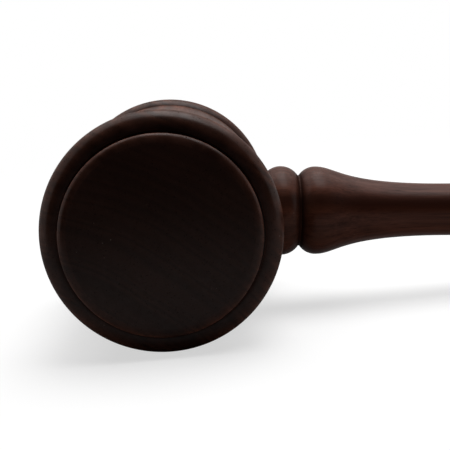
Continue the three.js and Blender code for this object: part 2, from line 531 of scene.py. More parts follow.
    def surface(self) -> Surface:
        """Turns the billet and puts the handle's seat in the place of its square patch.

        Returns:
            The closed surface, with its wear and hollow.
        """
        outline = self.outline()
        axis, first, second = np.eye(3)[[1, 0, 2]]
        billet = turned(outline, axis, first, second, self.steps)
        row = int(np.argmin(np.abs(outline.points[1:-1, 1] + self.patch_half)))
        column = -self.patch_steps // 2
        n = self.patch_steps

        def corner(along: Array, around: Array) -> Array:
            """Indices of the billet's corners at these steps of the patch."""
            return 1 + (row + along) * self.steps + (column + around) % self.steps

        up, full, none = np.arange(n), np.full(n, n), np.zeros(n, int)
        edge = np.concatenate([
            corner(full, up), corner(n - up, full), corner(none, n - up), corner(up, none),
        ])
        cells = np.arange(len(billet.quads)).reshape(-1, self.steps)
        cut = cells[row : row + n][:, (column + up) % self.steps]

        rings, wear, hollow = self.seat_rings(billet.points[edge])
        tip = len(billet.points) + len(rings) * len(edge)
        loops = np.arange(len(billet.points), tip).reshape(-1, len(edge))
        loops = np.concatenate([edge[None], loops])
        ahead = np.roll(loops, -1, axis=1)
        seat = np.stack([loops[:-1], ahead[:-1], ahead[1:], loops[1:]], axis=-1).reshape(-1, 4)
        cone = np.stack([loops[-1], ahead[-1], np.full(len(edge), tip)], axis=1)
        drill = np.array([[self.joint.drill_point(self.barrel_radius), 0.0, 0.0]])

        points = np.concatenate([billet.points, rings.reshape(-1, 3), drill])
        fields = {
            WEAR: np.concatenate([billet.fields[WEAR], np.repeat(wear, len(edge)), [0.0]]),
            HOLLOW: np.concatenate([billet.fields[HOLLOW], np.repeat(hollow, len(edge)), [1.0]]),
        }
        quads = np.concatenate([np.delete(billet.quads, cut.ravel(), axis=0), seat])
        triangles = np.concatenate([billet.triangles, cone])
        used = np.zeros(len(points), bool)
        used[quads] = True
        used[triangles] = True
        renumber = np.cumsum(used) - 1
        kept = {key: values[used] for key, values in fields.items()}
        return Surface(points[used], renumber[quads], renumber[triangles], axis, kept)

    def build(self, placing: Matrix, finish: "WoodFinish") -> bpy.types.Object:
        """Builds the head, dresses it and ties it to the frame.

        Args:
            placing: the gavel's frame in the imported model's, in metres.
            finish: the head's wood.

        Returns:
            The piece.
        """
        piece = self.surface().as_object("turned_head", placing)
        piece.data.materials.append(finish.material(GrainAxis.ALONG_HEAD, placing))
        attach(piece, BODY)
        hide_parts("head")
        return piece


# The handle


@dataclass
class Handle:
    """The handle: collar bead, bulge, taper to a waist, long grip and ball end, with its tenon.

    All sizes are in millimetres. A depth is counted towards the turning axis, and a place is a
    distance from the head's axis.
    """

    joint: Joint  # the seat in the head
    barrel_radius: float  # of the head's barrel, which sets where the tenon ends
    collar_radius: float = 12.45  # over the bead next to the head
    collar_round: float = 5.7  # of the bead's section
    neck_depth: float = 2.55  # from the bead's crest to the neck that sits on the head
    neck_length: float = 1.75  # of that neck
    # Gap under the neck in the solid model, from which the bead's place counts
    neck_gap: float = 0.3
    groove_width: float = 0.4  # of the groove's floor between the bead and the bulge
    bulge_depth: float = 0.15  # from the bead's crest to the bulge's
    bulge_round: float = 5.3  # of the bulge's rise out of the groove
    bulge_rise: float = 2.4  # from the groove's floor to the bulge's crest
    taper_length: float = 36.5  # from the bulge's crest to the waist
    waist_radius: float = 7.3  # at the handle's thinnest place
    grip_length: float = 125.0  # from the waist to the grip's crest
    grip_radius: float = 11.6  # at that crest
    grip_round: float = 14.0  # of the grip's fall to the last groove
    knob_groove_depth: float = 2.4  # from the grip's crest to that groove's floor
    knob_groove_width: float = 0.4  # of its floor
    knob_depth: float = 0.2  # from the grip's crest to the ball's
    # How far the taper's two end directions carry, as shares of its length
    taper_leads: tuple[float, float] = (0.175, 0.81)
    grip_leads: tuple[float, float] = (0.42, 0.36)  # the same for the grip
    steps: int = 160  # round the axis

    def outline(self) -> Outline:
        """Draws the whole outline, from the tenon's end to the end of the ball.

        Returns:
            The outline.
        """
        tenon, chamfer = self.joint.tenon_radius, self.joint.tenon_chamfer
        end = self.joint.tenon_end(self.barrel_radius)
        inner, outer = (tenon - chamfer, end), (tenon, end + chamfer)
        seat = self.joint.seat + self.joint.seat_gap
        neck = (self.collar_radius - self.neck_depth, seat)

        bead_start = self.joint.seat + self.neck_gap + self.neck_length
        bead_place = bead_start + reach_at_depth(self.collar_round, self.neck_depth)
        groove_depth = self.bulge_depth + self.bulge_rise
        groove = bead_place + reach_at_depth(self.collar_round, groove_depth)
        bulge_place = groove + self.groove_width + reach_at_depth(self.bulge_round, self.bulge_rise)
        bead = (self.collar_radius, bead_place)
        bulge = (self.collar_radius - self.bulge_depth, bulge_place)
        waist = (self.waist_radius, bulge[1] + self.taper_length)
        grip = (self.grip_radius, waist[1] + self.grip_length)
        ball_radius = self.grip_radius - self.knob_depth
        ball_rise = self.knob_groove_depth - self.knob_depth
        knob_groove = grip[1] + reach_at_depth(self.grip_round, self.knob_groove_depth)
        ball_start = knob_groove + self.knob_groove_width
        ball = (ball_radius, ball_start + reach_at_depth(ball_radius, ball_rise))

        bead_arc = crest_arc(bead, self.collar_round, self.neck_depth, groove_depth, count=40)
        bulge_arc = crest_arc(bulge, self.bulge_round, self.bulge_rise, 0.0, count=24)
        fall_arc = crest_arc(grip, self.grip_round, 0.0, self.knob_groove_depth, count=26)
        ball_arc = crest_arc(ball, ball_radius, ball_rise, ball_radius, count=48)
        ball_arc[-1, 0] = 0.0  # its pole, exactly on the axis
        return Outline(joined([
            straight((0.0, end), inner, count=4),
            straight(inner, outer, count=3),
            straight(outer, (tenon, seat), count=8),
            straight((tenon, seat), neck, count=4),
            straight(neck, bead_arc[0], count=10),
            bead_arc,
            straight(bead_arc[-1], bulge_arc[0], count=4),
            bulge_arc,
            sweep(bulge, waist, *self.taper_leads, count=60),
            sweep(waist, grip, *self.grip_leads, count=70),
            fall_arc,
            straight(fall_arc[-1], ball_arc[0], count=4),
            ball_arc,
        ]))

    def surface(self) -> Surface:
        """Closed surface of the outline turned about X."""
        axis, first, second = np.eye(3)[[0, 2, 1]]
        return turned(self.outline(), axis, first, second, self.steps)

    def build(self, placing: Matrix, finish: "WoodFinish") -> bpy.types.Object:
        """Builds the handle, dresses it and ties it to the frame.

        Args:
            placing: the gavel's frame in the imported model's, in metres.
            finish: the handle's wood.

        Returns:
            The piece.
        """
        piece = self.surface().as_object("turned_handle", placing)
        piece.data.materials.append(finish.material(GrainAxis.ALONG_HANDLE, placing))
        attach(piece, BODY)
        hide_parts("handle")
        return piece


# Shader nodes

# Sockets of a Mix node's colours, counted because their names repeat
MIX_LOW, MIX_HIGH, MIX_RESULT = 6, 7, 2
# What keeps all of a place but its X, and all but its height
OFF_X = (0.0, 1.0, 1.0)
LEVEL = (1.0, 1.0, 0.0)


@dataclass(frozen=True)
class Noise:
    """Settings of a Noise texture."""

    scale: float  # its repeats in a metre
    detail: float = 2.0  # how many finer copies are laid over it
    rough: float = 0.5  # how strong they are
    # What X is multiplied by, so that less than one draws the noise out along it
    squeeze: float = 1.0


class NodeSheet:
    """Adds nodes and links to one node tree, and gives back the sockets they put out."""

    def __init__(self, tree: bpy.types.NodeTree) -> None:
        """Starts on a tree."""
        self.tree = tree

    def feed(self, target: Socket, source: Value | Triple) -> None:
        """Links a socket to the target, or writes a constant there.

        Args:
            target: the input socket.
            source: what it takes.
        """
        if isinstance(source, bpy.types.NodeSocket):
            self.tree.links.new(source, target)
        else:
            target.default_value = source

    def node(
        self, kind: str, feeds: dict[str | int, Value | Triple] | None = None, **settings: object
    ) -> bpy.types.Node:
        """Adds a node.

        Args:
            kind: Blender's name for its type.
            feeds: what its inputs take, by name or number.
            settings: its own settings.

        Returns:
            The node.
        """
        made = self.tree.nodes.new(kind)
        for key, value in settings.items():
            setattr(made, key, value)
        for key, source in (feeds or {}).items():
            self.feed(made.inputs[key], source)
        return made

    def math(self, operation: str, *values: Value, clamp: bool = False) -> Socket:
        """Result of a Math node on up to three values."""
        feeds = dict(enumerate(values))
        return self.node("ShaderNodeMath", feeds, operation=operation, use_clamp=clamp).outputs[0]

    def vector(self, operation: str, *values: Triple) -> Socket:
        """Result of a Vector Math node on one or two vectors."""
        made = self.node("ShaderNodeVectorMath", dict(enumerate(values)), operation=operation)
        return made.outputs["Value" if operation == "LENGTH" else "Vector"]

    def distance(self, place: Socket, kept: Sequence[float]) -> Socket:
        """Distance of a place from the origin, counted along the kept axes only."""
        return self.vector("LENGTH", self.vector("MULTIPLY", place, kept))

    def ramp(self, value: Value, start: Value, end: Value) -> Socket:
        """Smooth step of a value, from zero at the start to one at the end."""
        feeds = {"Value": value, "From Min": start, "From Max": end}
        return self.node("ShaderNodeMapRange", feeds, interpolation_type="SMOOTHSTEP").outputs[0]

    def span(self, value: Value, low: Value, high: Value) -> Socket:
        """Straight map of a value from 0..1 to low..high."""
        feeds = {"Value": value, "To Min": low, "To Max": high}
        return self.node("ShaderNodeMapRange", feeds).outputs[0]

    def noise(self, place: Socket, kind: Noise) -> Socket:
        """Value of a Noise texture over a place, around one half."""
        feeds = {"Vector": self.vector("MULTIPLY", place, (kind.squeeze, 1.0, 1.0)),
                 "Scale": kind.scale, "Detail": kind.detail, "Roughness": kind.rough}
        return self.node("ShaderNodeTexNoise", feeds).outputs[0]

    def cells(self, place: Socket, scale: float) -> Socket:
        """Distance to the nearest of a Voronoi texture's scattered points, in its own cells."""
        feeds = {"Vector": place, "Scale": scale}
        return self.node("ShaderNodeTexVoronoi", feeds).outputs["Distance"]

    def blend(self, share: Value, low: Triple, high: Triple, mode: str = "MIX") -> Socket:
        """Colour between two others, or the first with the other laid over in a blend mode."""
        feeds = {"Factor": share, MIX_LOW: low, MIX_HIGH: high}
        return self.node(
            "ShaderNodeMix", feeds, data_type="RGBA", blend_type=mode).outputs[MIX_RESULT]

    def grey(self, value: Value) -> Socket:
        """A grey of this value."""
        return self.node("ShaderNodeCombineColor", dict.fromkeys(range(3), value)).outputs[0]

    def weighted(
        self, base: Value, effects: dict[str, Socket], weights: dict[str, float]
    ) -> Socket:
        """Adds effects to a base, each times its weight.

        Args:
            base: what they are added to.
            effects: sockets by name.
            weights: weights by the names of the effects that are added.

        Returns:
            The sum.
        """
        total = base
        for name, weight in weights.items():
            total = self.math("MULTIPLY_ADD", effects[name], weight, total)
        return total


class EffectGroup:
    """A shader node group that is built once and placed in each finish that uses it."""

    name = ""
    vectors: tuple[str, ...] = ("Vector",)  # names of the inputs that take a vector
    values: tuple[str, ...] = ()  # names of the inputs that take a value
    outputs: tuple[str, ...] = ()  # names of the values that it puts out

    def wire(self, sheet: NodeSheet, given: Sockets) -> dict[str, Socket]:
        """Draws the effect on the group's sheet.

        Args:
            sheet: the group's node sheet.
            given: what the group is given, by name.

        Returns:
            A socket for each output, by name.
        """
        raise NotImplementedError

    def tree(self) -> bpy.types.NodeTree:
        """Gives the group's node tree, which is built the first time it is asked for.

        Returns:
            The node tree.
        """
        known = bpy.data.node_groups.get(self.name)
        if known:
            return known
        tree = bpy.data.node_groups.new(self.name, "ShaderNodeTree")
        sides = (
            (self.vectors, "INPUT", "NodeSocketVector"),
            (self.values, "INPUT", "NodeSocketFloat"),
            (self.outputs, "OUTPUT", "NodeSocketFloat"),
        )
        for labels, side, kind in sides:
            for label in labels:
                tree.interface.new_socket(label, in_out=side, socket_type=kind)
        sheet = NodeSheet(tree)
        results = self.wire(sheet, sheet.node("NodeGroupInput").outputs)
        sheet.node("NodeGroupOutput", results)
        return tree

    def place(self, sheet: NodeSheet, feeds: dict[str, Value | Triple]) -> dict[str, Socket]:
        """Outputs by name of the group placed in a material, its inputs given by name."""
        made = sheet.node("ShaderNodeGroup", feeds, node_tree=self.tree())
        return dict(made.outputs.items())


class WoodFigure(EffectGroup):
    """Growth rings, fibres, pores and slow tone of wood whose grain runs along X.

    Rings are shells round a far pith that runs along the grain: the distance to it, bent by slow
    noise and feathered by the fibres, over the ring spacing; late wood rises and falls over the
    last share of each year. Noise over that number alone makes some years wider and fainter than
    others. Fibres are noise drawn out along the grain. Pores are the hearts of cells drawn out
    the same way, kept where slow noise allows. Tone is slow noise, drawn out less.
    """

    name = "wood_figure"
    vectors = ("Vector", "Pith")
    values = ("Ring Spacing", "Bend", "Unevenness", "Late Share")
    outputs = ("Rings", "Fibres", "Pores", "Tone")

    slow = Noise(42.0, rough=0.45, squeeze=0.16)
    fine = Noise(2600.0, detail=3.0, rough=0.6, squeeze=0.028)
    coarse = Noise(620.0, squeeze=0.028)
    pore_areas = Noise(900.0, detail=1.0, squeeze=0.028)
    tone = Noise(34.0, detail=3.0, rough=0.55, squeeze=0.3)
    feather = 0.2  # share of the fine fibres in the rings' bend
    year_noise = 0.55  # repeats of the good years' noise in a year
    full, fading = 0.5, 0.45  # shares of late wood still to come where it is full, and fades
    faint_years = (0.7, 0.3)  # noise at which a year is faintest, and at which it is full
    faintness = 0.25  # that it loses for each unit of unevenness
    fibre_contrast, fibre_floor = 1.3, -0.8
    pore_stretch = (0.05, 1.0, 1.0)
    pore_cells = 1500.0  # in a metre
    pore_edge = (0.3, 0.14)  # distances in its cell at which a pore begins and is full
    pore_kept = (0.46, 0.6)  # noise over which pores come up

    def wire(self, sheet: NodeSheet, given: Sockets) -> dict[str, Socket]:
        """Draws rings, fibres, pores and tone.

        Args:
            sheet: the group's node sheet.
            given: what the group is given, by name.

        Returns:
            A socket for each output, by name.
        """
        place, share, uneven = given["Vector"], given["Late Share"], given["Unevenness"]
        reach = sheet.distance(sheet.vector("SUBTRACT", place, given["Pith"]), OFF_X)
        fine = sheet.noise(place, self.fine)
        bend = sheet.math("MULTIPLY_ADD", fine, self.feather, sheet.noise(place, self.slow))
        bent = sheet.math("MULTIPLY_ADD", bend, given["Bend"], reach)
        even = sheet.math("DIVIDE", bent, given["Ring Spacing"])
        good_years = sheet.node(
            "ShaderNodeTexNoise", {"W": even, "Scale": self.year_noise, "Detail": 1.0},
            noise_dimensions="1D").outputs[0]
        year = sheet.math("FRACT", sheet.math("MULTIPLY_ADD", good_years, uneven, even))
        dark = sheet.ramp(year, sheet.math("SUBTRACT", 1.0, share),
                          sheet.math("MULTIPLY_ADD", share, -self.full, 1.0))
        pale = sheet.ramp(year, 1.0, sheet.math("MULTIPLY_ADD", share, -self.fading, 1.0))
        weak = sheet.math("MULTIPLY_ADD", uneven, -self.faintness, 1.0)
        strength = sheet.span(sheet.ramp(good_years, *self.faint_years), weak, 1.0)
        rings = sheet.math("MULTIPLY", sheet.math("MULTIPLY", dark, pale), strength)

        both = sheet.math("ADD", fine, sheet.noise(place, self.coarse))
        fibres = sheet.math(
            "MULTIPLY_ADD", both, self.fibre_contrast, self.fibre_floor, clamp=True)

        cells = sheet.cells(sheet.vector("MULTIPLY", place, self.pore_stretch), self.pore_cells)
        allowed = sheet.ramp(sheet.noise(place, self.pore_areas), *self.pore_kept)
        pores = sheet.math("MULTIPLY", sheet.ramp(cells, *self.pore_edge), allowed)
        return {"Rings": rings, "Fibres": fibres, "Pores": pores,
                "Tone": sheet.noise(place, self.tone)}


class LatheMarks(EffectGroup):
    """Fine rings left by the turner's sanding, round the axis that runs along X.

    The height is noise over two numbers only, the place along the axis and the distance from it,
    with a little drift so that a ring fades in and out on its way round.
    """

    name = "lathe_marks"
    outputs = ("Height",)

    rings = Noise(2400.0, rough=0.6)
    drift = Noise(90.0, detail=1.0)
    drift_reach = 0.002  # metres

    def wire(self, sheet: NodeSheet, given: Sockets) -> dict[str, Socket]:
        """Draws the rings' height.

        Args:
            sheet: the group's node sheet.
            given: what the group is given, by name.

        Returns:
            A socket for each output, by name.
        """
        place = given["Vector"]
        along = sheet.node("ShaderNodeSeparateXYZ", {0: place}).outputs[0]
        drift = sheet.math("MULTIPLY", sheet.noise(place, self.drift), self.drift_reach)
        feeds = {0: along, 1: sheet.distance(place, OFF_X), 2: drift}
        spot = sheet.node("ShaderNodeCombineXYZ", feeds).outputs[0]
        return {"Height": sheet.noise(spot, self.rings)}


class WearDustAndShade(EffectGroup):
    """Where hands rub the finish thin, where stain and painted shade gather in hollows, and where
    dust settles.

    Each of the two fields is broken up by noise, so that neither follows its edge evenly.
    Motes are the hearts of widely spaced cells, a few of which are kept.
    """

    name = "wear_dust_and_shade"
    values = ("Wear", "Hollow")
    outputs = ("Rubbed", "Corner Stain And Shade", "Motes", "Smudge")

    patches = Noise(210.0, detail=4.0, rough=0.65)
    worn = (0.3, 0.72)  # noise over which rubbing comes up
    stain_and_shade_spread = (0.8, 1.35)  # what the hollows' stain and painted shade is multiplied by, from the least noise to the most
    mote_cells = 330.0  # in a metre
    mote_edge = (0.07, 0.03)  # distances in its cell at which a mote begins and is full
    mote_areas = Noise(75.0, detail=1.0)
    motes_kept = (0.56, 0.6)  # noise over which motes come up
    smudges = Noise(28.0, detail=3.0, rough=0.6)
    smudge_edge = (0.38, 0.66)  # noise over which a smudge comes up

    def wire(self, sheet: NodeSheet, given: Sockets) -> dict[str, Socket]:
        """Draws rubbed edges, gathered stain, motes of dust and smudges.

        Args:
            sheet: the group's node sheet.
            given: what the group is given, by name.

        Returns:
            Draws rubbed edges, stain and painted shade in hollows, motes of dust and smudges.
        """
        place = given["Vector"]
        patchy = sheet.noise(place, self.patches)
        # Stain and painted shade in hollows, broken up by noise
        stain = sheet.span(patchy, *self.stain_and_shade_spread)
        motes = sheet.ramp(sheet.cells(place, self.mote_cells), *self.mote_edge)
        chosen = sheet.ramp(sheet.noise(place, self.mote_areas), *self.motes_kept)
        return {
            "Rubbed": sheet.math("MULTIPLY", given["Wear"], sheet.ramp(patchy, *self.worn)),
            "Corner Stain And Shade": sheet.math("MULTIPLY", given["Hollow"], stain, clamp=True),
            "Motes": sheet.math("MULTIPLY", motes, chosen),
            "Smudge": sheet.ramp(sheet.noise(place, self.smudges), *self.smudge_edge),
        }


# Finishes

# What each effect adds to the wood's roughness, to the share of varnish left and to the relief
ROUGHENED = {"Smudge": -0.06, "End Grain": 0.16}
THINNED = {"Pores": -0.35, "Fibres": -0.28, "Rubbed": -0.5}
RELIEF = {"Pores": -1.0, "Fibres": -0.45, "Height": 0.4, "Motes": 0.5}


def paint(code: str) -> tuple[float, float, float, float]:
    """A shader's colour from a web colour code such as "#61392a", by the sRGB curve."""
    parts = np.array([int(code[k : k + 2], 16) for k in (1, 3, 5)]) / 255
    return (
        *np.where(parts <= 0.04045, parts / 12.92, ((parts + 0.055) / 1.055) ** 2.4).tolist(), 1.0)


def new_material(name: str) -> bpy.types.Material:
    """Makes a material that has nodes.

    Args:
        name: the material's name.

    Returns:
        The material, with a Principled BSDF.
    """
    made = bpy.data.materials.new(name)
    made.use_nodes = True
    return made


class GrainAxis(Enum):
    """Direction of the grain, as the quarter turn about Z that brings X onto it."""

    ALONG_HANDLE = 0.0
    ALONG_HEAD = pi / 2


@dataclass(frozen=True)
class WoodFinish:
    """Stained wood under a satin varnish."""

    name: str
    early: str  # stained early wood, the lighter
    late: str  # stained late wood, the darker
    pore_stain_and_corner_shade: str  # stain in the pores, and stain and painted shade in inner corners
    end: str  # end grain, which drinks more stain
    rubbed: str  # wood under a rubbed edge
    pith: tuple[float, float, float]  # its place in metres, with the grain along X
    ring_spacing: float  # width of a year's growth in metres
    bend: float  # how far slow noise bends the rings, in metres
    unevenness: float  # how much one year's growth differs from the next
    late_share: float  # share of a year's growth that is late wood, its soft edges included
    ring_strength: float  # how much the rings show
    fibre_strength: float  # how much the fibres show on long grain
    pore_strength: float  # how much the pores show on long grain
    pore_end: float  # how much they show on end grain
    corner_stain_and_shade: float  # how much stain and painted shade darken inner corners
    matt_corners: float  # share of the varnish that inner corners go without
    varnish_side: float  # share of varnish on long grain
    varnish_end: float  # share of varnish left on end grain
    varnish_ior: float  # the varnish's index of refraction
    bare_gloss: float  # specular level of the wood under the varnish
    varnish_roughness: float = 0.28
    # Roughness of the wood, between its fibres and on them
    bare_roughness: tuple[float, float] = (0.5, 0.66)
    fibre_end: float = 0.85  # how much the fibres show on end grain
    tone_swing: float = 0.5  # how far slow noise lightens or darkens the wood, as a share
    # What early wood is multiplied by on long grain and on end grain
    early_tone: tuple[float, float] = (1.06, 1.08)
    late_tone: tuple[float, float] = (0.8, 0.74)  # the same for late wood
    rubbed_share: float = 0.4  # how much a rubbed edge shows
    mote: str = "#6f625c"  # colour of a mote of dust
    mote_share: float = 0.5  # how much it covers
    grain_height: float = 0.00003  # depth of the grain's relief in metres

    def _grain_place(self, sheet: NodeSheet, grain: GrainAxis, placing: Matrix) -> Socket:
        """Centres and turns the piece's coordinates.

        Args:
            sheet: the material's node sheet.
            grain: direction in which the piece's grain runs.
            placing: the gavel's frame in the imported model's.

        Returns:
            Coordinates whose origin is the middle of the head and whose X runs along the grain.
        """
        turn = placing.to_3x3() @ Matrix.Rotation(grain.value, 3, "Z")
        feeds = {
            "Location": placing.translation,
            "Rotation": turn.to_euler("XYZ"),
            "Vector": sheet.node("ShaderNodeTexCoord").outputs["Object"],
        }
        return sheet.node("ShaderNodeMapping", feeds, vector_type="TEXTURE").outputs["Vector"]

    def _effects(self, sheet: NodeSheet, place: Socket) -> dict[str, Socket]:
        """Places the effect groups.

        Args:
            sheet: the material's node sheet.
            place: coordinates whose X runs along the grain.

        Returns:
            What the groups put out, and how nearly the surface is end grain, by name.
        """
        wear, hollow, end_grain = (
            sheet.node("ShaderNodeAttribute", attribute_name=key).outputs["Fac"]
            for key in (WEAR, HOLLOW, END_GRAIN)
        )
        figure = WoodFigure().place(sheet, {
            "Vector": place, "Pith": self.pith, "Ring Spacing": self.ring_spacing,
            "Bend": self.bend, "Unevenness": self.unevenness, "Late Share": self.late_share})
        wear_dust_and_shade = WearDustAndShade().place(sheet, {"Vector": place, "Wear": wear, "Hollow": hollow})
        marks = LatheMarks().place(sheet, {"Vector": place})
        squared = sheet.math("POWER", end_grain, 2.0, clamp=True)
        return figure | wear_dust_and_shade | marks | {"End Grain": squared}

    def _colour(self, sheet: NodeSheet, effects: dict[str, Socket]) -> Socket:
        """Stains the wood.

        The rings and then the fibres take early wood to late wood's colour, and end grain to its
        own. That is multiplied by a tone, and pores, rubbed edges, stain and painted shade in inner
        corners, and motes are laid over it in that order.

        Args:
            sheet: the material's node sheet.
            effects: what the effect groups put out, by name.

        Returns:
            The colour.
        """
        ending = effects["End Grain"]
        rings = sheet.math("MULTIPLY", effects["Rings"], self.ring_strength)
        wood = sheet.blend(rings, paint(self.early), paint(self.late))
        fibre_share = sheet.span(ending, self.fibre_strength, self.fibre_end)
        fibres = sheet.math("MULTIPLY", effects["Fibres"], fibre_share)
        wood = sheet.blend(fibres, wood, paint(self.late))
        wood = sheet.blend(ending, wood, paint(self.end))
        slow = sheet.span(effects["Tone"], 1.0 - self.tone_swing, 1.0 + self.tone_swing)
        early, late = sheet.span(ending, *self.early_tone), sheet.span(ending, *self.late_tone)
        tone = sheet.math("MULTIPLY", slow, sheet.span(rings, early, late))
        wood = sheet.blend(1.0, wood, sheet.grey(tone), "MULTIPLY")
        layers = (
            ("Pores", sheet.span(ending, self.pore_strength, self.pore_end), self.pore_stain_and_corner_shade),
            ("Rubbed", self.rubbed_share, self.rubbed),
            # Stain and painted shade darken the inner corners
            ("Corner Stain And Shade", self.corner_stain_and_shade, self.pore_stain_and_corner_shade),
            ("Motes", self.mote_share, self.mote),
        )
        for name, strength, colour in layers:
            share = sheet.math("MULTIPLY", effects[name], strength)
            wood = sheet.blend(share, wood, paint(colour))
        return wood

    def material(self, grain: GrainAxis, placing: Matrix) -> bpy.types.Material:
        """Makes the material.

        Args:
            grain: direction in which the piece's grain runs.
            placing: the gavel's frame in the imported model's.

        Returns:
            The material, with its pattern fixed to the piece.
        """
        made = new_material(self.name)
        sheet = NodeSheet(made.node_tree)
        effects = self._effects(sheet, self._grain_place(sheet, grain, placing))
        bare = sheet.span(effects["Fibres"], *self.bare_roughness)
        varnish = sheet.span(effects["End Grain"], self.varnish_side, self.varnish_end)
        thinned = THINNED | {"Corner Stain And Shade": -self.matt_corners}
        left = sheet.weighted(1.0, effects, thinned)
        relief = {"Height": sheet.weighted(0.0, effects, RELIEF), "Distance": self.grain_height}
        feeds = {
            "Base Color": self._colour(sheet, effects),
            "Roughness": sheet.weighted(bare, effects, ROUGHENED),
            "Specular IOR Level": self.bare_gloss,
            "Coat Weight": sheet.math("MULTIPLY", varnish, left, clamp=True),
            "Coat Roughness": self.varnish_roughness,
            "Coat IOR": self.varnish_ior,
            "Normal": sheet.node("ShaderNodeBump", relief).outputs["Normal"],
        }
        for key, source in feeds.items():
            sheet.feed(made.node_tree.nodes["Principled BSDF"].inputs[key], source)
        return made


HEAD_WOOD = WoodFinish(
    name="stained_head_wood",
    early="#61392a",
    late="#372017",
    pore_stain_and_corner_shade="#110906",
    end="#24120c",
    rubbed="#5f4038",
    pith=(0.0, 0.041, -0.074),
    ring_spacing=0.0027,
    bend=0.0035,
    unevenness=2.2,
    late_share=0.9,
    ring_strength=0.9,
    fibre_strength=0.75,
    pore_strength=0.65,
    pore_end=0.5,
    corner_stain_and_shade=0.15,
    matt_corners=0.15,
    varnish_side=0.28,
    varnish_end=0.27,
    varnish_ior=1.65,
    bare_gloss=0.0,
)
HANDLE_WOOD = WoodFinish(
    name="stained_handle_wood",
    early="#572f21",
    late="#2b120a",
    pore_stain_and_corner_shade="#120805",
    end="#26130f",
    rubbed="#664434",
    pith=(0.0, 0.02, 0.1139),
    ring_spacing=0.015,
    bend=0.003,
    unevenness=0.0,
    late_share=0.5,
    ring_strength=0.92,
    fibre_strength=0.9,
    pore_strength=0.35,
    pore_end=0.35,
    corner_stain_and_shade=0.6,
    matt_corners=1.0,
    varnish_side=0.21,
    varnish_end=0.21,
    varnish_ior=1.5,
    bare_gloss=0.03,
)


# The studio


class LightRays(Enum):
    """Kinds of ray that see a surface as its background colour, by Light Path's outputs."""

    CAMERA = "Is Camera Ray"
    GLOSSY = "Is Glossy Ray"
    TRANSMISSION = "Is Transmission Ray"


@dataclass(frozen=True)
class Softbox:
    """A rectangular lamp that faces a point."""

    name: str
    place: tuple[float, float, float]  # where it hangs, in metres from the middle of the head
    aim: tuple[float, float, float]  # where it faces, likewise
    size: tuple[float, float]  # its two sides in metres
    power: float  # in watts

    def hang(self, middle: Vector) -> None:
        """Hangs the lamp, unseen by the camera.

        Args:
            middle: the middle of the head.
        """
        lamp = bpy.data.lights.new(self.name, "AREA")
        lamp.shape = "RECTANGLE"
        lamp.size, lamp.size_y = self.size
        lamp.energy = self.power
        made = in_scene(self.name, lamp)
        made.location = middle + Vector(self.place)
        away = Vector(self.place) - Vector(self.aim)
        made.rotation_euler = away.to_track_quat("Z", "Y").to_euler()
        made.visible_camera = False


@dataclass(frozen=True)
class Flag:
    """A black card that stands upright and keeps the surround's glare off the wood."""

    name: str
    # Of its lower edge's middle, in metres from the spot under the head
    place: tuple[float, float, float]
    width: float  # in metres
    height: float  # in metres
    cells: int = 4  # along each of its sides

    def stand(self, middle: Vector) -> None:
        """Stands the card up across the Y axis, where only reflections and gloss meet it.

        Args:
            middle: the middle of the head.
        """
        spot = Vector((middle.x - self.width / 2, middle.y, 0.0)) + Vector(self.place)
        side, rise = (self.width, 0.0, 0.0), (0.0, 0.0, self.height)
        made = flat_sheet(self.name, spot, side, rise, self.cells)
        black = new_material(self.name)
        shader = black.node_tree.nodes["Principled BSDF"]
        shader.inputs["Base Color"].default_value = paint("#000000")
        shader.inputs["Specular IOR Level"].default_value = 0.0
        made.data.materials.append(black)
        made.visible_camera = False
        made.visible_shadow = False
        made.visible_diffuse = False


